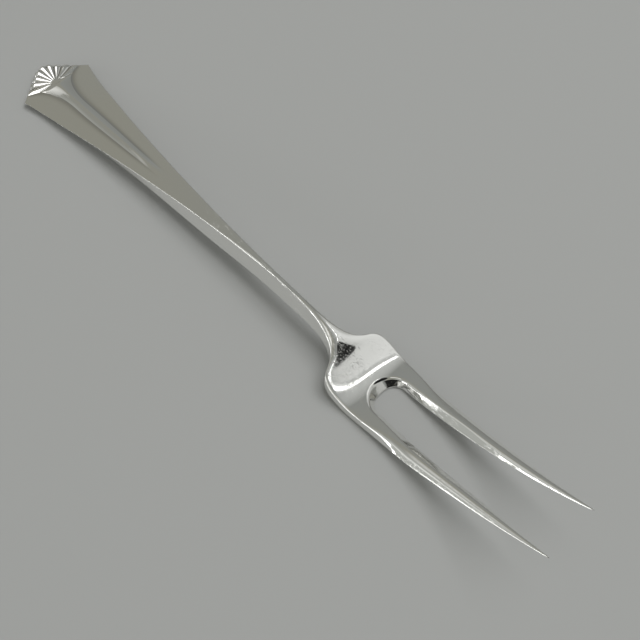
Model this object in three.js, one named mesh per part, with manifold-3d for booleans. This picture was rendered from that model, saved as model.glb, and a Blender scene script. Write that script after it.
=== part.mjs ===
// Serving fork: two tines, a flared handle with a raised rib, and a scallop shell on the handle's end.
// The real fork is one forging. Each region that has a name of its own is a solid here, and neighbours
// meet face to face. Millimetres: X from the shell to the tine points, Y to the left, Z up from the table.

import * as THREE from 'three';
import * as BufferGeometryUtils from 'three/addons/utils/BufferGeometryUtils.js';
import Module from 'manifold-3d';

// Lengths along the fork, each from the end of the one before
const gableReach = 7.5; // outermost point of the shell to the handle's corners
const handleLength = 45; // corners to the place where the rib dies out
const shankLength = 45.5; // end of the rib to the waist, the narrowest place
const neckLength = 22.1; // waist to the widest place of the shoulders
const rootLength = 8.1; // shoulders to the centre of the slot's round end
const tineLength = 43.7; // centre of the slot's round end to the points

// Heights of the upper face above the table
const waistHeight = 8.9;
const pointHeight = 15.2;

// Widths of the upper face, between its two edges
const handleWidth = 19.6;
const noseWidth = 2; // blunt end of the plate under the shell
const waistWidth = 0.84;
const shoulderWidth = 17.2;
const slotWidth = 8.8;
const pointSpread = 12.6; // between the middles of the two points
const pointWidth = 0.3;

// Depths, from the upper face down
const handleThickness = 1.6;
const handleEdge = 0.6; // upright edge of the handle's rim
const shankDepth = 4;
const shankFlank = 3.6; // height of the shank's sloping side
const rootThickness = 2.2;
const rootEdge = 1.8;
const tineDepth = 2.9;
const tineFlank = 2.4;
const pointDepth = 0.3;

// How far a side stands out below its upper edge
const shankSpread = 1.5;
const rootSpread = 0.35;
const tineOuterSpread = 0.85;
const tineInnerSpread = 0.45;

// How far the underside lies inside the sides
const handleBackBevel = 2.2;
const shankBackBevel = 0.9;
const rootBackBevel = 1.2;
const tineBackBevel = 0.5;

// Shell and rib, raised on the handle
const shellDepth = 10.2; // outermost point back to the line where the flutes begin
const shellWidth = 15.8;
const shellRootWidth = 4.8; // across the line where the flutes begin
const shellOverhang = 0.6; // of the rim past the plate
const shellRise = 0.8;
const shellRimRise = 0.5;
const fluteCount = 7;
const fluteRelief = 0.35;
const rimScallop = 0.3;
const rimBow = 1.25; // 1 is a straight gable, more rounds its point
const ribWidth = 3;
const ribEndWidth = 1.6;
const ribRise = 0.5;
const ribEndRise = 0.05;
const ribCrest = 0.35; // share of the rib's width that its flat crest takes
const ribFlare = 6; // length over which the rib narrows from the shell
const flatLength = 14; // level end of the handle, from the outermost point

// Side view: reach of each smooth bend along the fork
const riseBend = 6;
const waistBendBefore = 24;
const waistBendAfter = 13.9;
const bellyBendBefore = 6.1;
const bellyBendAfter = 10.5;
const bellyOffset = 4.5; // shoulders to the belly, the low place that rests on the table
const pointRun = 14.5; // nearly straight end of a tine
const pointClimb = 4.7; // height gained along it

// Plan view: reach of each smooth bend along the fork
const cornerFlare = 13.7; // nearly straight flare of the handle's edge at the corner
const cornerDrop = 3; // half-width lost along it
const waistFlareBefore = 30.2;
const waistFlareAfter = 23.5;
const shoulderBendBefore = 10;
const shoulderBendAfter = 7.9;
const tineDraw = 21.6; // length over which a tine's outer edge runs out to the point
const tineHollow = 0.34; // how far that edge bends inside the point
const slotRun = 12; // straight start of a tine's inner edge
const pointFlare = 13; // length over which the inner edge runs out to the point
const pointFlareDrop = 0.8; // half-width gained along it

const silverColor = 0xc9cac6;
const silverRoughness = 0.12;

const corner = gableReach;
const ribEnd = corner + handleLength;
const waist = ribEnd + shankLength;
const shoulder = waist + neckLength;
const slotCentre = shoulder + rootLength;
const point = slotCentre + tineLength;
const belly = shoulder + bellyOffset;
const nose = shellOverhang;
const shankFull = ribEnd + 0.6 * shankLength; // where the shank reaches its full depth
const neckEnd = shoulder - neckLength / 6;
const tineFull = slotCentre + tineLength / 3; // where a tine reaches its full depth

const handleSteps = 16;
const shankSteps = 12;
const neckSteps = 16;
const rootSteps = 8;
const tineSteps = 20;
const slotSides = 48;
const fluteSteps = 6;
const shellSteps = 6;

function bezier(...points) {
  return new THREE.CubicBezierCurve(...points.map(([x, y]) => new THREE.Vector2(x, y)));
}

// Height of the first curve that reaches x, where the curves follow one another along X.
function valueAt(curves, x) {
  const curve = curves.find((candidate) => x <= candidate.v3.x) ?? curves.at(-1);
  let low = 0;
  let high = 1;
  for (let halving = 0; halving < 40; halving += 1) {
    const middle = (low + high) / 2;
    if (curve.getPoint(middle).x < x) low = middle;
    else high = middle;
  }
  return curve.getPoint(high).y;
}

// Smooth steps through knots of [x, value].
function blend(x, knots) {
  const next = knots.findIndex(([knotX]) => x < knotX);
  if (next === 0) return knots[0][1];
  if (next === -1) return knots.at(-1)[1];
  const [startX, start] = knots[next - 1];
  const [endX, end] = knots[next];
  return THREE.MathUtils.lerp(start, end, THREE.MathUtils.smoothstep(x, startX, endX));
}

function steps(start, end, count) {
  return Array.from({ length: count + 1 }, (_, step) => THREE.MathUtils.lerp(start, end, step / count));
}

// Closed solid through loops of points that follow one another, each anticlockwise seen from the next.
// The points of a loop face one another in pairs, first to last, so each end is closed by a ladder.
function loft(loops) {
  const size = loops[0].length;
  const last = (loops.length - 1) * size;
  const index = [];
  for (let row = 0; row < last; row += size) {
    for (let column = 0; column < size; column += 1) {
      const here = row + column;
      const beside = row + ((column + 1) % size);
      index.push(here, beside, beside + size);
      index.push(here, beside + size, here + size);
    }
  }
  for (let rung = 0; rung < size / 2 - 1; rung += 1) {
    const facing = size - 1 - rung;
    index.push(rung, facing, facing - 1);
    index.push(rung, facing - 1, rung + 1);
    index.push(last + rung, last + facing - 1, last + facing);
    index.push(last + rung, last + rung + 1, last + facing - 1);
  }
  const geometry = new THREE.BufferGeometry().setFromPoints(loops.flat());
  geometry.setIndex(index);
  return geometry;
}

// Side view of the upper face: level end, rise to the waist, drop to the belly, sweep up to the points
const sideCurves = [
  bezier(
    [flatLength, handleThickness],
    [flatLength + riseBend, handleThickness],
    [waist - waistBendBefore, waistHeight],
    [waist, waistHeight],
  ),
  bezier(
    [waist, waistHeight],
    [waist + waistBendAfter, waistHeight],
    [belly - bellyBendBefore, rootThickness],
    [belly, rootThickness],
  ),
  bezier(
    [belly, rootThickness],
    [belly + bellyBendAfter, rootThickness],
    [point - pointRun, pointHeight - pointClimb],
    [point, pointHeight],
  ),
];

function topHeight(x) {
  return x <= flatLength ? handleThickness : valueAt(sideCurves, x);
}

// Plan view of the upper face's outer edge, as half-widths
const pointOuter = (pointSpread + pointWidth) / 2;
const pointInner = (pointSpread - pointWidth) / 2;
const planCurves = [
  bezier(
    [corner, handleWidth / 2],
    [corner + cornerFlare, handleWidth / 2 - cornerDrop],
    [waist - waistFlareBefore, waistWidth / 2],
    [waist, waistWidth / 2],
  ),
  bezier(
    [waist, waistWidth / 2],
    [waist + waistFlareAfter, waistWidth / 2],
    [shoulder - shoulderBendBefore, shoulderWidth / 2],
    [shoulder, shoulderWidth / 2],
  ),
  bezier(
    [shoulder, shoulderWidth / 2],
    [shoulder + shoulderBendAfter, shoulderWidth / 2],
    [point - tineDraw, pointOuter - tineHollow],
    [point, pointOuter],
  ),
];
const slotCurve = bezier(
  [slotCentre, slotWidth / 2],
  [slotCentre + slotRun, slotWidth / 2],
  [point - pointFlare, pointInner - pointFlareDrop],
  [point, pointInner],
);

function outerEdge(x) {
  if (x >= corner) return valueAt(planCurves, x);
  return THREE.MathUtils.mapLinear(x, nose, corner, noseWidth / 2, handleWidth / 2);
}

// Values down the length of the solid part: at the handle's level end, along the shank, and at the root
function alongBar(x, handleValue, shankValue, rootValue, start = flatLength) {
  return blend(x, [
    [start, handleValue],
    [shankFull, shankValue],
    [waist, shankValue],
    [neckEnd, rootValue],
  ]);
}

// Six points round the solid part at x: underside, side and upper edge on the left, then on the right.
function barSection(x) {
  const top = topHeight(x);
  const upper = outerEdge(x);
  const spread = alongBar(x, 0, shankSpread, rootSpread, (flatLength + ribEnd) / 2);
  const bevel = alongBar(x, handleBackBevel, shankBackBevel, rootBackBevel);
  const depth = alongBar(x, handleThickness, shankDepth, rootThickness);
  const flank = alongBar(x, handleEdge, shankFlank, rootEdge);
  const side = upper + spread;
  const under = Math.max(side - bevel, side / 2);
  return [
    new THREE.Vector3(x, under, top - depth),
    new THREE.Vector3(x, side, top - flank),
    new THREE.Vector3(x, upper, top),
    new THREE.Vector3(x, -upper, top),
    new THREE.Vector3(x, -side, top - flank),
    new THREE.Vector3(x, -under, top - depth),
  ];
}

// Values down the length of a tine: at the root, where it is fullest, and, ever faster, to the point
function alongTine(x, rootValue, fullValue, pointValue) {
  if (x < tineFull) return blend(x, [[slotCentre, rootValue], [tineFull, fullValue]]);
  return THREE.MathUtils.lerp(fullValue, pointValue, ((x - tineFull) / (point - tineFull)) ** 2);
}

// Six points round the left tine at x: outer side from below, then the side that faces the slot.
function tineSection(x) {
  const top = topHeight(x);
  const depth = alongTine(x, rootThickness, tineDepth, pointDepth);
  const flank = alongTine(x, rootEdge, tineFlank, pointDepth / 2);
  const outer = outerEdge(x);
  const outerSide = outer + alongTine(x, rootSpread, tineOuterSpread, 0);
  const outerUnder = outerSide - alongTine(x, rootBackBevel, tineBackBevel, 0);
  const inner = valueAt([slotCurve], x);
  const innerSide = inner - alongTine(x, 0, tineInnerSpread, 0);
  const innerUnder = innerSide + alongTine(x, 0, tineBackBevel, 0);
  return [
    new THREE.Vector3(x, outerUnder, top - depth),
    new THREE.Vector3(x, outerSide, top - flank),
    new THREE.Vector3(x, outer, top),
    new THREE.Vector3(x, inner, top),
    new THREE.Vector3(x, innerSide, top - flank),
    new THREE.Vector3(x, innerUnder, top - depth),
  ];
}

// Four points round the rib at x: it stands on the handle's upper face and has sloping sides.
function ribSection(x) {
  const seat = topHeight(x);
  const flareEnd = shellDepth + ribFlare;
  const foot = blend(x, [[shellDepth, shellRootWidth], [flareEnd, ribWidth], [ribEnd, ribEndWidth]]) / 2;
  const rise = blend(x, [[shellDepth, shellRise], [flareEnd, ribRise], [ribEnd, ribEndRise]]);
  const crest = foot * ribCrest;
  return [
    new THREE.Vector3(x, foot, seat),
    new THREE.Vector3(x, crest, seat + rise),
    new THREE.Vector3(x, -crest, seat + rise),
    new THREE.Vector3(x, -foot, seat),
  ];
}

// Upright slice of the shell, from the line where the flutes begin out to the rim.
// across runs from -1 at the right end of the rim to 1 at the left end.
function shellSlice(across) {
  const lobe = Math.abs(Math.sin(((across + 1) / 2) * fluteCount * Math.PI));
  const rimEnd = THREE.MathUtils.mapLinear(shellWidth, noseWidth, handleWidth, nose, corner);
  const rimX = rimEnd * Math.abs(across) ** rimBow + rimScallop * (1 - lobe);
  const seat = steps(0, 1, shellSteps).map((out) => {
    const x = THREE.MathUtils.lerp(shellDepth, rimX, out);
    const y = (across * THREE.MathUtils.lerp(shellRootWidth, shellWidth, out)) / 2;
    return new THREE.Vector3(x, y, handleThickness);
  });
  const top = seat.map(({ x, y, z }, step) => {
    const out = step / shellSteps;
    const rise = THREE.MathUtils.lerp(shellRise, shellRimRise, out ** 2) + fluteRelief * out * lobe;
    return new THREE.Vector3(x, y, z + rise);
  });
  return [...seat, ...top.reverse()];
}

const wasm = await Module();
wasm.setup();

function toManifold(geometry) {
  const bare = geometry.clone();
  bare.deleteAttribute('normal');
  bare.deleteAttribute('uv');
  const merged = BufferGeometryUtils.mergeVertices(bare);
  const vertProperties = new Float32Array(merged.attributes.position.array);
  const triVerts = new Uint32Array(merged.index.array);
  return new wasm.Manifold(new wasm.Mesh({ numProp: 3, vertProperties, triVerts }));
}

function toGeometry(manifold) {
  const { vertProperties, triVerts } = manifold.getMesh();
  const geometry = new THREE.BufferGeometry();
  geometry.setAttribute('position', new THREE.BufferAttribute(vertProperties, 3));
  geometry.setIndex(new THREE.BufferAttribute(triVerts, 1));
  return geometry;
}

// Root plate, with the round end of the slot cut out of its front edge
function rootGeometry() {
  const plate = loft(steps(neckEnd, slotCentre, rootSteps).map(barSection));
  const cutter = new THREE.CylinderGeometry(slotWidth / 2, slotWidth / 2, 6 * rootThickness, slotSides);
  cutter.rotateX(Math.PI / 2);
  cutter.translate(slotCentre, 0, topHeight(slotCentre));
  return toGeometry(toManifold(plate).subtract(toManifold(cutter)));
}

function mirrored(section) {
  return section.map(({ x, y, z }) => new THREE.Vector3(x, -y, z)).reverse();
}

const handleStations = [nose, corner, shellDepth, ...steps(flatLength, ribEnd, handleSteps)];
const ribStations = handleStations.filter((x) => x >= shellDepth);
const tineSections = steps(slotCentre, point, tineSteps).map(tineSection);

const fork = new THREE.Group();
fork.name = 'serving_fork';
fork.position.x = -point / 2;

function addSolid(name, geometry) {
  const faceted = geometry.toNonIndexed();
  faceted.computeVertexNormals();
  const silver = new THREE.MeshStandardMaterial({
    color: silverColor,
    metalness: 1,
    roughness: silverRoughness,
  });
  const solid = new THREE.Mesh(faceted, silver);
  solid.name = name;
  fork.add(solid);
}

addSolid('shell', loft(steps(-1, 1, fluteCount * fluteSteps).map(shellSlice)));
addSolid('handle', loft(handleStations.map(barSection)));
addSolid('handle_rib', loft(ribStations.map(ribSection)));
addSolid('shank', loft(steps(ribEnd, waist, shankSteps).map(barSection)));
addSolid('neck', loft(steps(waist, neckEnd, neckSteps).map(barSection)));
addSolid('root', rootGeometry());
addSolid('left_tine', loft(tineSections));
addSolid('right_tine', loft(tineSections.map(mirrored)));

export default fork;
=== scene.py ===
import math

import bmesh
import bpy
from mathutils import Matrix, Vector


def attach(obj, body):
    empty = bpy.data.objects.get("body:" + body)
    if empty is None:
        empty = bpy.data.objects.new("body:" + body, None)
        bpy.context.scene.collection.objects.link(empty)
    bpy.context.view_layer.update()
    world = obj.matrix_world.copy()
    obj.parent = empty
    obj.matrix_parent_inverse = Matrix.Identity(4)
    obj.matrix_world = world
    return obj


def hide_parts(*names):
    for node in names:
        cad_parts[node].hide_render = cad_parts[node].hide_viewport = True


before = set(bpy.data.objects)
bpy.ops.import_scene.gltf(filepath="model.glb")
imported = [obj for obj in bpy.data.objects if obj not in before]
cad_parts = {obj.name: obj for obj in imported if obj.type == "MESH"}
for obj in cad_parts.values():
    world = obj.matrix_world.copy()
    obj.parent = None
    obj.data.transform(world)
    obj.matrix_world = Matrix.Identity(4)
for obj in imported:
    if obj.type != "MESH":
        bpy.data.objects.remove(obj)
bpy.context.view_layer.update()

# Handle. The bar's end is forged flat and thin, filed to a low gable and drawn in towards the shank.
# It lies level on the table and then rises. Its back is bevelled all round.
# The fork's sizes are in millimetres, and its stations are counted from the gable's peak.
mm = 0.001
gable_reach = 7.5
gable_round = 1.2
gable_thickness = 0.7
gable_thinning = 4.0
gable_bend_end = 24.0
handle_length = 45.0
handle_half = 9.8
handle_thickness = 1.6
handle_edge = 0.6
handle_undercut = 0.2
handle_bevel = 2.2
corner_flare = 13.7
corner_drop = 3.0
level_end = 14.0
rise_bend = 6.0
flank_start = 33.0

corner = gable_reach
rib_end = corner + handle_length


def mix(start, end, share):
    return start + (end - start) * share


def smooth(start, end, x):
    """Goes from 0 at start to 1 at end, without a corner."""
    share = min(max((x - start) / (end - start), 0.0), 1.0)
    return share * share * (3 - 2 * share)


def blend(x, *knots):
    """Smooth steps through knots of (x, value)."""
    for (start_x, start), (end_x, end) in zip(knots, knots[1:]):
        if x < end_x:
            return mix(start, end, smooth(start_x, end_x, x))
    return knots[-1][1]


def bezier(*handles):
    """The curve with these four handles, as a function of x."""
    halvings = 36

    def along(values, share):
        rest = 1 - share
        first, second, third, last = values
        return (
            first * rest**3
            + 3 * second * rest**2 * share
            + 3 * third * rest * share**2
            + last * share**3
        )

    xs, ys = zip(*handles)

    def value(x):
        low, high = 0.0, 1.0
        for _ in range(halvings):
            middle = (low + high) / 2
            if along(xs, middle) < x:
                low = middle
            else:
                high = middle
        return along(ys, high)

    return value


def gable_edge(y):
    """How far the gable's edge lies behind its peak. The peak is rounded."""
    def rounded(half):
        return math.hypot(half, gable_round) - gable_round

    return gable_reach * rounded(y) / rounded(handle_half)


# Shank. The bar between the handle and the neck, forged deep and narrow, so it is stiff. It is a keel with
# a narrow top and sides that lean out.
shank_length = 45.5
shank_depth = 4.0
shank_flank = 3.6
shank_spread = 1.5
shank_bevel = 0.9
shank_full_share = 0.6
waist_half = 0.42
waist_height = 8.9
waist_flare_before = 30.2
waist_bend_before = 24.0

waist = rib_end + shank_length
shank_full = rib_end + shank_full_share * shank_length
handle_plan = bezier(
    (corner, handle_half),
    (corner + corner_flare, handle_half - corner_drop),
    (waist - waist_flare_before, waist_half),
    (waist, waist_half),
)
handle_rise = bezier(
    (level_end, handle_thickness),
    (level_end + rise_bend, handle_thickness),
    (waist - waist_bend_before, waist_height),
    (waist, waist_height),
)

# Neck and root. The bar goes down to the table and opens to a flat root as wide as the two tines, with
# a round slot end between them. The neck is a little crowned. The root's low belly is the second rest.
neck_length = 22.1
waist_flare_after = 23.5
waist_bend_after = 13.9
crown_height = 0.45
edge_fall = 0.12
root_length = 8.1
belly_offset = 4.5
belly_bend_before = 6.1
shoulder_half = 8.6
shoulder_bend_before = 10.0
root_thickness = 2.2
root_edge = 1.8
root_spread = 0.35
root_bevel = 1.2
slot_radius = 4.4
slot_rim = 1.0
slot_lean = 1.5
slot_side_lean = 0.5

shoulder = waist + neck_length
neck_end = shoulder - neck_length / 6
belly = shoulder + belly_offset
slot_centre = shoulder + root_length
slot_end = slot_centre - slot_radius
crown_top = waist + 11
crown_fall = waist + 13.5
crown_end = waist + 18.5
neck_plan = bezier(
    (waist, waist_half),
    (waist + waist_flare_after, waist_half),
    (shoulder - shoulder_bend_before, shoulder_half),
    (shoulder, shoulder_half),
)
neck_drop = bezier(
    (waist, waist_height),
    (waist + waist_bend_after, waist_height),
    (belly - belly_bend_before, root_thickness),
    (belly, root_thickness),
)


def crown(station, share):
    """How far the neck's upper face lies above its plain line: up in the middle, down at the edges."""
    share = min(share, 1.0)
    middle = smooth(waist, crown_top, station) * (1 - smooth(crown_fall, crown_end, station))
    edges = smooth(waist, neck_end, station) * (1 - smooth(shoulder, slot_centre, station))
    return crown_height * middle * (1 - share**2) - edge_fall * edges * share**4


# Tines. Two long points, filed to a soft ridge above and flat below. They are drawn out of the root under
# the hammer, sweep up, and draw in a little before they part.
tine_length = 43.7
shoulder_bend_after = 7.9
belly_bend_after = 10.5
tine_draw = 21.6
tine_hollow = 0.34
slot_run = 12.0
tine_depth = 2.9
tine_flank = 2.4
tine_outer_lean = 0.85
tine_inner_lean = 0.45
tine_bevel = 0.5
dome_share = 0.3
crest_share = 0.43
ridge_share = 0.1
ridge_run = 16.0
point_share = 0.5
rim_round = 0.5
point_height = 15.2
point_run = 14.5
point_climb = 4.7
point_flare = 13.0
point_flare_drop = 0.8
point_outer = 6.43
point_inner = 6.17
point_depth = 0.24
point_bevel = 0.04

point = slot_centre + tine_length
tine_full = slot_centre + tine_length / 3
dome_start = slot_centre - 1
dome_full = tine_full - 2
tine_plan = bezier(
    (shoulder, shoulder_half),
    (shoulder + shoulder_bend_after, shoulder_half),
    (point - tine_draw, point_outer - tine_hollow),
    (point, point_outer),
)
slot_plan = bezier(
    (slot_centre, slot_radius),
    (slot_centre + slot_run, slot_radius),
    (point - point_flare, point_inner - point_flare_drop),
    (point, point_inner),
)
tine_sweep = bezier(
    (belly, root_thickness),
    (belly + belly_bend_after, root_thickness),
    (point - point_run, point_height - point_climb),
    (point, point_height),
)


def top_height(x):
    if x <= level_end:
        return handle_thickness
    if x <= waist:
        return handle_rise(x)
    return neck_drop(x) if x <= belly else tine_sweep(x)


def outer_edge(x):
    if x <= waist:
        return handle_plan(x)
    return neck_plan(x) if x <= shoulder else tine_plan(x)


def along_fork(x, handle, shank, root, tine, tip, start=level_end):
    """A size that has one value on each part and runs smoothly from one to the next."""
    if x < slot_centre:
        return blend(x, (start, handle), (shank_full, shank), (waist, shank), (neck_end, root))
    if x < tine_full:
        return blend(x, (slot_centre, root), (tine_full, tine))
    return mix(tine, tip, ((x - tine_full) / (point - tine_full)) ** 3)


def side_height(x):
    return along_fork(x, handle_edge, shank_flank, root_edge, tine_flank, point_depth / 2)


def full_depth(x):
    depth = along_fork(x, handle_thickness, shank_depth, root_thickness, tine_depth, point_depth)
    most = blend(
        x,
        (corner, gable_thickness),
        (corner + gable_thinning, handle_thickness),
        (waist, waist_height),
    )
    return min(depth, most)


def outer_lean(x):
    return along_fork(x, -handle_undercut, shank_spread, root_spread, tine_outer_lean, 0, flank_start)


def inner_lean(x):
    if x < tine_full:
        return blend(
            x,
            (slot_station, slot_lean),
            (slot_centre, slot_side_lean),
            (tine_full, tine_inner_lean),
        )
    return along_fork(x, 0, 0, 0, tine_inner_lean, 0)


def doming(x):
    return smooth(dome_start, dome_full, x)


def tine_chord(x):
    x = max(x, slot_centre)
    return outer_edge(x) - slot_plan(x) + outer_lean(x) + inner_lean(x)


def crest_drop(x):
    """How far the dome's crest lies below the height that the flat root would have there."""
    dome_height = min(dome_share * tine_chord(x), side_height(x))
    return doming(x) * (side_height(x) - dome_height)


def ridge_round(x, side):
    """How far the crest's rounding reaches on a tine's inner side. It grows towards the point."""
    return side * blend(x, (tine_full, ridge_share), (tine_full + ridge_run, point_share))


def rim_width(x):
    """Plan distance from the slot's edge to where its rim begins to turn down: on a tine, the crest."""
    return mix(slot_rim, crest_share * tine_chord(x) - inner_lean(x), doming(x))


# Rows of the skin follow the middle line to the slot's end, and go round the slot from there to the tines.
turn_start = shoulder - 2
turn_path = slot_end - slot_rim - turn_start
round_path = slot_radius * math.pi / 2
slot_station = mix(turn_start, slot_centre, turn_path / (turn_path + round_path))


def inner_edge(station):
    """Plan point on the middle line or the slot's edge, and the direction from there into the metal."""
    if station < turn_start:
        return Vector((station, 0)), Vector((-1, 0))
    if station <= slot_station:
        share = (station - turn_start) / (slot_station - turn_start)
        return Vector((mix(turn_start, slot_end, share), 0)), Vector((-1, 0))
    if station < slot_centre:
        angle = math.pi - math.pi / 2 * (station - slot_station) / (slot_centre - slot_station)
        away = Vector((math.cos(angle), math.sin(angle)))
        return Vector((slot_centre, 0)) + slot_radius * away, away
    return Vector((station, slot_plan(station))), Vector((0, 1))


# Shell and rib. A scallop shell is struck on the handle's end, with round lobes that spread from a focus.
# A rib runs from it down the middle of the handle and dies out at the shank. Both are one with the plate.
shell_focus = Vector((7.0, 0.0))
lobe_turn = 20.0
last_lobe = 90.0
lobe_fade = 4.0
lobe_slope = 0.03
groove_depth = 0.2
groove_share = 0.3
lobe_start = 0.7
lobe_full = 2.4
lobe_foot_power = 12
scallop = 0.35
scallop_run = 2.0
shell_half = 7.9
shell_foot_flare = (10.4, 5.6)
shell_foot_draw = (13.2, 1.6)
shell_fullness = 2.6
shell_lip = 0.3
lip_run = 1.2
shell_rise = 1.3
focus_rise = 0.3
hinge = 8.4
hinge_rise = 0.7
rib_rise = 0.45
rib_half = 1.55
rib_end_half = 0.9
rib_fullness = 1.7
rib_fade_share = 0.7
bar_foot_share = 0.45
most_foot_share = 0.8

shell_row = 13.6
rib_body = shell_row + 2
rib_level = hinge + 7
rib_start = 19.0
rib_fade = rib_end - 14
shell_foot = bezier((corner, shell_half), shell_foot_flare, shell_foot_draw, (rib_start, rib_half))


def foot_half(station, width):
    """Half width of the strip that the shell and the rib rise from. On the plain bar it is a set share."""
    if station < rib_start:
        half = shell_foot(station)
    elif station < rib_end:
        half = blend(station, (rib_start, rib_half), (rib_end, rib_end_half))
    else:
        half = bar_foot_share * width
    return min(half, most_foot_share * width)


def ornament(station, share, x):
    """Height of the shell's body and the rib over the plate. share is 0 in the middle and 1 at the foot."""
    fullness = blend(station, (corner, shell_fullness), (rib_body, rib_fullness))
    rise = blend(
        x,
        (0, shell_rise),
        (shell_focus.x, focus_rise),
        (hinge, hinge_rise),
        (rib_level, rib_rise),
        (rib_fade, rib_fade_share * rib_rise),
        (rib_end, 0),
    )
    lip = mix(shell_lip, 1, smooth(corner, corner + lip_run, station))
    return rise * lip * (1 - share**fullness)


def fan(place):
    """The lobes at a plan point: its share of the way from crest to groove, and their strength there."""
    arm = place.xy - shell_focus
    angle = math.degrees(math.atan2(abs(arm.y), -arm.x))
    across = abs(2 * (angle / lobe_turn - math.floor(angle / lobe_turn + 0.5)))
    begun = smooth(lobe_start, lobe_full, arm.length)
    ended = smooth(last_lobe - lobe_fade, last_lobe + lobe_fade, angle)
    return across, begun * (1 - ended)


def lobe_height(place):
    across, strength = fan(place)
    top = lobe_slope * (place.xy - shell_focus).length * (0.5 - across**2)
    return strength * (top - groove_depth * smooth(1 - groove_share, 1, across))


# Forging. The whole fork is one piece of silver without a seam. Its polished skin is laid over the sections
# above as one surface, and then parted into the named pieces, whose shading runs on across the partings.
edge_round = [
    (corner, 0.015),
    (rib_end, 0.1),
    (waist, 0.25),
    (neck_end, 0.35),
    (slot_centre, 0.5),
    (tine_full, 0.6),
]
most_edge_share = 0.3
low_round = 0.15
most_low_share = 0.4
most_bevel_share = 0.2
crest_stretch = 1.2
least_flank = 1e-6
strip_steps = 72
plate_steps = 10
round_steps = 5
flank_steps = 8
rim_steps = 16
bevel_steps = 4


def curve_through(start, tip, end, share):
    return start.lerp(tip, share).lerp(tip.lerp(end, share), share)


def upper_profile(station, width, side):
    """The upper face and the side: reach from the inner line, and height, down to the lower corner.

    A flat runs out to a rounded edge, and the flank runs down from there. On the tines the flat narrows
    away, and the edge becomes the ridge.
    """
    domed = doming(station)
    sink = crest_drop(station)
    ridge = point_share * side.x
    rounding = mix(min(blend(station, *edge_round), most_edge_share * width), ridge, domed)
    edge = Vector((mix(width, ridge, domed), -sink))
    down = (side - edge).normalized()
    end = side - down * min(low_round, most_low_share * -side.y)
    turn_in = Vector((edge.x - rounding, -sink))
    turn_out = edge.lerp(end, min(rounding * mix(1, crest_stretch, domed) / (end - edge).length, 1.0))

    flat = turn_in.x
    bend = (edge - turn_in).length + (turn_out - edge).length
    flank = (end - turn_out).length
    foot = foot_half(station, width)
    runs = [foot * step / strip_steps for step in range(strip_steps)]
    runs += [mix(foot, flat, step / plate_steps) for step in range(plate_steps)]
    runs += [flat + bend * step / round_steps for step in range(round_steps)]
    runs += [flat + bend + flank * step / flank_steps for step in range(flank_steps + 1)]

    profile = []
    for step, run in enumerate(runs):
        run = mix(run, (flat + bend + flank) * step / (len(runs) - 1), domed)
        if run <= flat:
            place = Vector((run, -sink))
        elif run < flat + bend:
            place = curve_through(turn_in, edge, turn_out, (run - flat) / bend)
        else:
            place = turn_out.lerp(end, (run - flat - bend) / max(flank, least_flank))
        place.y += crown(station, place.x / width)
        profile.append(place)
    return profile


def half_section(station):
    """Points round half of the fork at a station: over the top, down the side and back under it."""
    inner, away = inner_edge(station)
    outer = Vector((station, outer_edge(station)))
    if station >= slot_station:
        inner = inner + away * rim_width(station)
    elif station > turn_start:
        inner = inner + away * slot_rim * (station - turn_start) / (slot_station - turn_start)
    across = outer - inner
    width = across.length
    across.normalize()

    depth = full_depth(station)
    bevel = along_fork(station, handle_bevel, shank_bevel, root_bevel, tine_bevel, point_bevel)
    side = Vector((width + outer_lean(station), -side_height(station)))
    under = Vector((side.x - bevel, -depth))
    back = under - side
    turn_out = side + back.normalized() * min(low_round, most_low_share * back.length)
    profile = upper_profile(station, width, side)
    turn_in = profile[-1]
    for step in range(1, round_steps + 1):
        profile.append(curve_through(turn_in, side, turn_out, step / round_steps))
    profile += [turn_out.lerp(under, step / plate_steps) for step in range(1, plate_steps + 1)]

    points = []
    for reach, height in profile:
        plan = inner + across * reach
        points.append(Vector((plan.x, plan.y, top_height(plan.x) + height)))
    bottom = slot_side(station)[0] if station >= slot_station else Vector((inner.x, 0, 0))
    start = points[-1]
    for step in range(1, strip_steps + 1):
        place = start.lerp(bottom, step / strip_steps)
        place.z = max(top_height(place.x) - depth, 0)
        points.append(place)

    # The handle's first sections are bent back to run along the gable, and the shell's lobes lie on them.
    bend = 1 - smooth(corner, gable_bend_end, station)
    for index, place in enumerate(points):
        place.x += bend * (gable_edge(min(place.y, handle_half)) - gable_reach)
        share = index / strip_steps
        if share < 1 and station < rib_end:
            place.z += ornament(station, share, place.x)
        if share < 1 and station < rib_start:
            across, strength = fan(place)
            place.z += lobe_height(place) * (1 - share**lobe_foot_power)
            inward = scallop * strength * across**3 * (1 - smooth(corner, corner + scallop_run, station))
            place.xy += (shell_focus - place.xy).normalized() * inward
    return points


def slot_side(station):
    """Points up the side of the slot at a station, from the underside to the upper face's inner line."""
    edge, away = inner_edge(station)
    lean = inner_lean(station)
    width = rim_width(station) + lean
    under = Vector((-lean + min(tine_bevel, most_bevel_share * width), -full_depth(station)))
    rounding = mix(rim_round, ridge_round(station, width), doming(station))
    low = Vector((-lean, -side_height(station)))
    high = Vector((width - lean, -crest_drop(station)))
    edge_tip = high - Vector((rounding, 0))
    turn = edge_tip.lerp(low, min(crest_stretch * rounding / (low - edge_tip).length, 1.0))
    profile = [under.lerp(low, step / bevel_steps) for step in range(bevel_steps)]
    profile += [low.lerp(turn, step / flank_steps) for step in range(flank_steps)]
    profile += [curve_through(turn, edge_tip, high, step / rim_steps) for step in range(rim_steps + 1)]
    points = []
    for reach, height in profile:
        plan = edge + away * reach
        points.append(Vector((plan.x, plan.y, max(top_height(plan.x) + height, 0))))
    return points


def evenly(start, end, count):
    return [mix(start, end, step / count) for step in range(count)]


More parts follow.
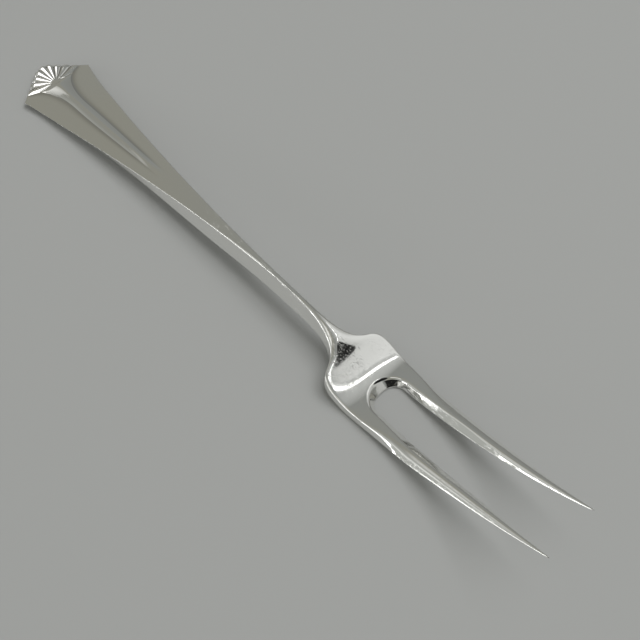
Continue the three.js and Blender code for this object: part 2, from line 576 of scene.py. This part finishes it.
def closing_rows(section, reach, count):
    """Rows that round an end over to the middle of its thickness."""
    rows = []
    for step in range(1, count + 1):
        angle = math.pi / 2 * step / count
        row = []
        for place, facing in zip(section, section[::-1]):
            middle = (place + facing) / 2
            row.append(middle + (place - middle) * math.cos(angle) + reach * math.sin(angle))
        rows.append(row)
    return rows


pieces = ["shell", "handle", "handle_rib", "shank", "neck", "root", "left_tine", "right_tine"]
part_ends = [
    ("handle", rib_end),
    ("shank", waist),
    ("neck", neck_end),
    ("root", slot_centre),
    ("left_tine", point),
]


def piece_at(station, column):
    if column < strip_steps and station < rib_end:
        return "shell" if station < shell_row else "handle_rib"
    return next(name for name, end in part_ends if station < end)


def lay_grid(bm, rows):
    """Lays a square grid over the rows' points. Gives the row and column of each point and each face."""
    half = 0.5
    row_count = len(rows) - 1
    column_count = len(rows[0]) - 1
    grid = bmesh.ops.create_grid(bm, x_segments=row_count, y_segments=column_count, size=half)
    faces = {}
    for face in {face for vert in grid["verts"] for face in vert.link_faces}:
        centre = face.calc_center_median()
        faces[face] = int((centre.x + half) * row_count), int((centre.y + half) * column_count)
    verts = {}
    for vert in grid["verts"]:
        row = round((vert.co.x + half) * row_count)
        column = round((vert.co.y + half) * column_count)
        vert.co = rows[row][column]
        verts[vert] = row, column
    return verts, faces


# The crease at the rib's foot gets painted shade: the silver's colour is darkened over a few columns there.
crease_start = 1.0
crease_fade = 12.0
crease_columns = 1.6
crease_painted_shade = 0.45


def painted_shade_at(station, column, place):
    """Painted shade: how much the silver's colour is darkened in the shell's grooves and in the crease at
    the rib's foot.
    """
    if column > strip_steps + plate_steps or station >= rib_end:
        return 0.0
    groove = 0.0
    if column < strip_steps and station < rib_start:
        across, strength = fan(place)
        groove = strength * smooth(1 - groove_share, 1, across)
    begun = smooth(corner, corner + crease_start, station)
    left = 1 - smooth(rib_end - crease_fade, rib_end, station)
    crease = math.exp(-((column - strip_steps) / crease_columns) ** 2) * (left * begun)
    return min(groove + crease_painted_shade * crease, 1.0)


end_round = 0.3
end_steps = 4
stations = (
    evenly(corner, shell_row, 44)
    + evenly(shell_row, gable_bend_end, 24)
    + evenly(gable_bend_end, rib_end, 30)
    + evenly(rib_end, waist, 40)
    + evenly(waist, neck_end, 44)
    + evenly(neck_end, slot_station, 20)
    + evenly(slot_station, slot_centre, 44)
    + evenly(slot_centre, tine_full, 44)
    + evenly(tine_full, point, 60)
    + [point]
)
rows = [half_section(station) for station in stations]
for row in rows:
    for place in row:
        place.x = max(place.x, end_round)
gable_rows = closing_rows(rows[0], Vector((-end_round, 0, 0)), end_steps)[::-1]
rows = gable_rows + rows
row_stations = [corner] * len(gable_rows) + stations
slot_stations = [station for station in stations if station >= slot_station]

skin = bmesh.new()
piece_layer = skin.faces.layers.int.new("piece")
# Each point of the skin carries its share of painted shade.
painted_shade_layer = skin.verts.layers.float.new("painted_shade")
for sheet_rows, sheet_stations in (
    (rows, row_stations),
    ([slot_side(station) for station in slot_stations], slot_stations),
):
    sheet_verts, sheet_faces = lay_grid(skin, sheet_rows)
    for face, (row, column) in sheet_faces.items():
        face[piece_layer] = pieces.index(piece_at(sheet_stations[row], column))
    for vert, (row, column) in sheet_verts.items():
        vert[painted_shade_layer] = painted_shade_at(sheet_stations[row], column, vert.co)

merge_gap = 0.0005
for vert in skin.verts:
    if abs(vert.co.y) < merge_gap:
        vert.co.y = 0.0
bmesh.ops.remove_doubles(skin, verts=skin.verts[:], dist=merge_gap)
bmesh.ops.mirror(skin, geom=skin.verts[:] + skin.edges[:] + skin.faces[:], axis="Y", merge_dist=merge_gap)
bmesh.ops.remove_doubles(skin, verts=skin.verts[:], dist=merge_gap)
tips = bmesh.ops.holes_fill(skin, edges=[edge for edge in skin.edges if edge.is_boundary], sides=0)
for face in tips["faces"]:
    face[piece_layer] = pieces.index("left_tine")
bmesh.ops.recalc_face_normals(skin, faces=skin.faces[:])
for face in skin.faces:
    face.smooth = True
    if face[piece_layer] == pieces.index("left_tine") and face.calc_center_median().y < 0:
        face[piece_layer] = pieces.index("right_tine")
skin.normal_update()
polish_layer = skin.verts.layers.float_vector.new("polish")
for vert in skin.verts:
    vert[polish_layer] = vert.normal

# Polished silver: a bright mirror with a faint haze and fine wear scratches, and painted shade in the low
# places, where the colour is darkened in the shell's grooves and in the crease at the rib's foot.
clean_silver = (0.93, 0.925, 0.9, 1)
painted_shade_silver = (0.2, 0.19, 0.17, 1)
scratch_strength = 0.7
scratch_depth = 0.01 * mm
silver = bpy.data.materials.new("polished_silver")
silver.use_nodes = True
silver_nodes = silver.node_tree.nodes
silver_links = silver.node_tree.links
shader = silver_nodes["Principled BSDF"]
shader.inputs["Metallic"].default_value = 1.0
place_on_fork = silver_nodes.new("ShaderNodeTexCoord")


def noise_over_fork(turn, stretch, scale, detail):
    """Noise on the fork's own coordinates, turned by degrees about Z and stretched along its lines."""
    mapping = silver_nodes.new("ShaderNodeMapping")
    mapping.inputs["Rotation"].default_value = (0, 0, math.radians(turn))
    mapping.inputs["Scale"].default_value = (1, stretch, stretch)
    silver_links.new(place_on_fork.outputs["Object"], mapping.inputs["Vector"])
    noise = silver_nodes.new("ShaderNodeTexNoise")
    noise.inputs["Scale"].default_value = scale
    noise.inputs["Detail"].default_value = detail
    silver_links.new(mapping.outputs["Vector"], noise.inputs["Vector"])
    return noise.outputs["Fac"]


def within(value, low, high, to_low=0, to_high=1):
    """Maps a value from the range of low and high to another range."""
    node = silver_nodes.new("ShaderNodeMapRange")
    node.inputs["From Min"].default_value = low
    node.inputs["From Max"].default_value = high
    node.inputs["To Min"].default_value = to_low
    node.inputs["To Max"].default_value = to_high
    silver_links.new(value, node.inputs["Value"])
    return node.outputs["Result"]


def joined(operation, first, second):
    node = silver_nodes.new("ShaderNodeMath")
    node.operation = operation
    silver_links.new(first, node.inputs[0])
    silver_links.new(second, node.inputs[1])
    return node.outputs["Value"]


# Fine scratches run in three directions, and each patch of the fork shows some of them. The end that goes
# into the food is the more worn.
scratches = None
for turn, stretch in ((12, 28), (-38, 34), (71, 30)):
    line = within(noise_over_fork(turn, stretch, scale=150, detail=2), low=0.61, high=0.67)
    patch = within(noise_over_fork(turn, stretch=1, scale=140, detail=1), low=0.45, high=0.6)
    scratch = joined("MULTIPLY", line, patch)
    scratches = joined("MAXIMUM", scratches, scratch) if scratches else scratch
axes = silver_nodes.new("ShaderNodeSeparateXYZ")
silver_links.new(place_on_fork.outputs["Object"], axes.inputs["Vector"])
wear = within(axes.outputs["X"], low=-0.03, high=0.02, to_low=0.3)
scratches = joined("MULTIPLY", scratches, wear)
cuts = silver_nodes.new("ShaderNodeBump")
cuts.invert = True
cuts.inputs["Strength"].default_value = scratch_strength
cuts.inputs["Distance"].default_value = scratch_depth
silver_links.new(scratches, cuts.inputs["Height"])
silver_links.new(cuts.outputs["Normal"], shader.inputs["Normal"])

clouds = noise_over_fork(turn=20, stretch=2, scale=60, detail=3)
haze = within(clouds, low=0.35, high=0.7, to_low=0.035, to_high=0.085)
scuffs = within(scratches, low=0, high=1, to_high=0.2)
silver_links.new(joined("ADD", haze, scuffs), shader.inputs["Roughness"])

# The painted shade laid on the skin darkens the silver's colour in the grooves and the crease.
painted_shade = silver_nodes.new("ShaderNodeAttribute")
painted_shade.attribute_name = "painted_shade"
silver_colour = silver_nodes.new("ShaderNodeMix")
silver_colour.data_type = "RGBA"
silver_colour.inputs["A"].default_value = clean_silver
silver_colour.inputs["B"].default_value = painted_shade_silver
silver_links.new(painted_shade.outputs["Fac"], silver_colour.inputs["Factor"])
silver_links.new(silver_colour.outputs["Result"], shader.inputs["Base Color"])

# Under the shell and the rib the handle has a shallow seat, which closes all three pieces.
seat_depth = 0.15
seated = {"shell": (corner, shell_row), "handle_rib": (shell_row, rib_end), "handle": (corner, rib_end)}


def close_over_seat(part, start, end):
    """Lays the seat between two stations in a piece, and an upright face where shell and rib meet."""
    upper = [row[:strip_steps + 1] for row, place in zip(rows, row_stations) if start <= place <= end]
    seat = []
    for row in upper:
        foot = row[strip_steps].z
        seat.append([
            Vector((place.x, place.y, foot - seat_depth * (1 - (step / strip_steps) ** 2)))
            for step, place in enumerate(row)
        ])
    if start == corner:
        seat[0] = upper[0]
    polished = part.verts[:]
    hidden = list(lay_grid(part, seat)[0])
    if end - start < handle_length:
        joint = -1 if start == corner else 0
        hidden += list(lay_grid(part, [upper[joint], seat[joint]])[0])
    faces = list({face for vert in hidden for face in vert.link_faces})
    edges = list({edge for vert in hidden for edge in vert.link_edges})
    bmesh.ops.mirror(part, geom=hidden + edges + faces, axis="Y", merge_dist=0)
    doubles = bmesh.ops.find_doubles(part, verts=part.verts[:], keep_verts=polished, dist=merge_gap)
    bmesh.ops.weld_verts(part, targetmap=doubles["targetmap"])


for number, name in enumerate(pieces):
    part = skin.copy()
    layer = part.faces.layers.int["piece"]
    others = [face for face in part.faces if face[layer] != number]
    bmesh.ops.delete(part, geom=others, context="FACES")
    if name in seated:
        close_over_seat(part, *seated[name])
    cut = bmesh.ops.holes_fill(part, edges=[edge for edge in part.edges if edge.is_boundary], sides=0)
    for face in cut["faces"]:
        face.smooth = False
    bmesh.ops.recalc_face_normals(part, faces=part.faces[:])
    bmesh.ops.translate(part, verts=part.verts[:], vec=(-point / 2, 0, 0))
    bmesh.ops.scale(part, verts=part.verts[:], vec=(mm, mm, mm))
    mesh = bpy.data.meshes.new("forged_" + name)
    part.to_mesh(mesh)
    part.free()
    polish = mesh.attributes["polish"].data
    shading = []
    for face in mesh.polygons:
        for corner_vertex in face.vertices:
            shading.append(polish[corner_vertex].vector if face.use_smooth else face.normal)
    mesh.normals_split_custom_set(shading)
    mesh.materials.append(silver)
    piece = bpy.data.objects.new("forged_" + name, mesh)
    bpy.context.collection.objects.link(piece)
    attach(piece, "root")
    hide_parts(name)
skin.free()

# The table under the fork: a plain pale grey top. From here on, sizes are in metres.
table_half = 2.0
bm = bmesh.new()
bmesh.ops.create_grid(bm, x_segments=1, y_segments=1, size=table_half)
table_mesh = bpy.data.meshes.new("table")
bm.to_mesh(table_mesh)
bm.free()
table = bpy.data.objects.new("table", table_mesh)
bpy.context.collection.objects.link(table)
table_grey = bpy.data.materials.new("table_grey")
table_grey.use_nodes = True
table_shader = table_grey.node_tree.nodes["Principled BSDF"]
table_shader.inputs["Base Color"].default_value = (0.44, 0.445, 0.44, 1)
table_shader.inputs["Roughness"].default_value = 0.9
table_mesh.materials.append(table_grey)

# Camera: above the tines, on the near side, looking down and back towards the handle.
camera_place = Vector((0.08848, -0.06414, 0.17283))
look = Vector((-0.3579, 0.3368, -0.8709)).normalized()
up = Vector((-0.6389, 0.5918, 0.4915))
right = look.cross(up).normalized()
up = right.cross(look)
camera_data = bpy.data.cameras.new("camera")
camera_data.lens = 50.625
camera_data.sensor_width = 36
camera_data.sensor_fit = "HORIZONTAL"
camera_data.clip_start = 0.005
camera = bpy.data.objects.new("camera", camera_data)
camera.matrix_world = Matrix.Translation(camera_place) @ Matrix((right, up, -look)).transposed().to_4x4()
bpy.context.collection.objects.link(camera)
bpy.context.scene.camera = camera

# Soft rectangular lamps round the table. The mirror polish shows all of them but the overhead one.
lamp_distance = 1.2


def hang(piece, azimuth, elevation, distance, over=(0, 0, 0)):
    """Hangs a lamp or a card over a place and facing it. Its direction from there is in degrees."""
    turn = math.radians(azimuth)
    lift = math.radians(elevation)
    direction = Vector((math.cos(lift) * math.cos(turn), math.cos(lift) * math.sin(turn), math.sin(lift)))
    piece.location = Vector(over) + distance * direction
    piece.rotation_euler = (-direction).to_track_quat("-Z", "Y").to_euler()
    bpy.context.collection.objects.link(piece)


def hang_lamp(name, azimuth, elevation, width, height, radiance, distance=lamp_distance, over=(0, 0, 0)):
    data = bpy.data.lights.new(name, "AREA")
    data.shape = "RECTANGLE"
    data.size = width
    data.size_y = height
    data.energy = radiance * math.pi * width * height
    lamp = bpy.data.objects.new(name, data)
    hang(lamp, azimuth, elevation, distance, over)
    return lamp


hang_lamp("near_window", azimuth=232, elevation=7.5, width=0.6, height=0.25, radiance=2.5)
hang_lamp("near_low_window", azimuth=250, elevation=1.8, width=0.4, height=0.08, radiance=2.5)
hang_lamp("near_side_window", azimuth=268, elevation=12, width=0.5, height=0.45, radiance=1.5)
hang_lamp("near_panel", azimuth=238, elevation=37, width=0.6, height=0.2, radiance=0.3)
hang_lamp("front_panel", azimuth=303, elevation=66, width=0.62, height=0.3, radiance=0.55)
hang_lamp("end_panel", azimuth=46, elevation=38, width=2.2, height=0.96, radiance=0.24)
hang_lamp("strip", azimuth=52, elevation=63, width=0.52, height=0.03, radiance=2.4)
overhead = hang_lamp(
    "overhead", azimuth=70, elevation=68, width=1.2, height=1.2, radiance=2.8, distance=1.6
)
overhead.visible_glossy = False

# Three small lamps with narrow beams stand over the shell, the rib's head and the tines. Only the silver
# there shows them.
small_lamp_distance = 0.2
small_lamp_beam = 36
for name, azimuth, elevation, width, height, radiance, over in (
    ("shell_lamp", 163, 70, 0.084, 0.084, 0.1, (-0.083, 0, 0.002)),
    ("rib_lamp", 191, 57, 0.08, 0.05, 0.016, (-0.0765, -0.002, 0.002)),
    ("tine_lamp", 194, 48, 0.09, 0.1, 0.011, (0.066, -0.005, 0.007)),
):
    lamp = hang_lamp(name, azimuth, elevation, width, height, radiance, small_lamp_distance, over)
    lamp.data.spread = math.radians(small_lamp_beam)
    lamp.visible_diffuse = False

# Two dark oval cards hang past the tines. The steep part of the neck and the side of the slot's end show
# them as black.
card_distance = 0.5
card_sides = 48
card_black = bpy.data.materials.new("card_black")
card_black.use_nodes = True
card_shader = card_black.node_tree.nodes["Principled BSDF"]
card_shader.inputs["Base Color"].default_value = (0.02, 0.02, 0.02, 1)
card_shader.inputs["Roughness"].default_value = 1.0


def hang_card(name, azimuth, elevation, turn, half_width, half_height):
    """Hangs an oval card, turned by degrees in its own plane, that shows only in the silver."""
    bm = bmesh.new()
    bmesh.ops.create_circle(bm, cap_ends=True, segments=card_sides, radius=1.0)
    bmesh.ops.scale(bm, verts=bm.verts[:], vec=(half_width, half_height, 1))
    bmesh.ops.rotate(bm, verts=bm.verts[:], matrix=Matrix.Rotation(math.radians(turn), 3, "Z"))
    mesh = bpy.data.meshes.new(name)
    bm.to_mesh(mesh)
    bm.free()
    mesh.materials.append(card_black)
    card = bpy.data.objects.new(name, mesh)
    hang(card, azimuth, elevation, card_distance)
    card.visible_camera = False
    card.visible_diffuse = False
    card.visible_shadow = False


hang_card("neck_card", azimuth=8, elevation=42.8, turn=-40, half_width=0.142, half_height=0.163)
hang_card("slot_card", azimuth=325, elevation=12, turn=0, half_width=0.5, half_height=0.1)

# The room: olive grey, darker on the far side of the fork and paler on the near side and overhead.
near_side = (-0.34, -0.94, 0)
ceiling_side = (0.224, 0.48, 0.848)
ceiling_colour = (0.46, 0.47, 0.46, 1)
world = bpy.data.worlds.new("room")
world.use_nodes = True
room_nodes = world.node_tree.nodes
room_links = world.node_tree.links
view = room_nodes.new("ShaderNodeTexCoord")


def towards(side, low, high):
    """How much a view into the room points to a side: 0 at the low cosine and 1 at the high one."""
    cosine = room_nodes.new("ShaderNodeVectorMath")
    cosine.operation = "DOT_PRODUCT"
    cosine.inputs[1].default_value = side
    room_links.new(view.outputs["Generated"], cosine.inputs[0])
    share = room_nodes.new("ShaderNodeMapRange")
    share.inputs["From Min"].default_value = low
    share.inputs["From Max"].default_value = high
    room_links.new(cosine.outputs["Value"], share.inputs["Value"])
    return share.outputs["Result"]


walls = room_nodes.new("ShaderNodeValToRGB")
walls.color_ramp.elements[0].color = (0.205, 0.21, 0.196, 1)
walls.color_ramp.elements[1].color = (0.39, 0.4, 0.38, 1)
for place, colour in (
    (0.36, (0.246, 0.255, 0.245, 1)),
    (0.5, (0.262, 0.26, 0.226, 1)),
    (0.78, (0.258, 0.26, 0.238, 1)),
):
    walls.color_ramp.elements.new(place).color = colour
room_links.new(towards(near_side, low=-0.7, high=0.7), walls.inputs["Fac"])
room_colour = room_nodes.new("ShaderNodeMix")
room_colour.data_type = "RGBA"
room_colour.inputs["B"].default_value = ceiling_colour
room_links.new(towards(ceiling_side, low=0.9135, high=0.99), room_colour.inputs["Factor"])
room_links.new(walls.outputs["Color"], room_colour.inputs["A"])
room_links.new(room_colour.outputs["Result"], room_nodes["Background"].inputs["Color"])
bpy.context.scene.world = world

bpy.context.scene.view_settings.view_transform = "Standard"
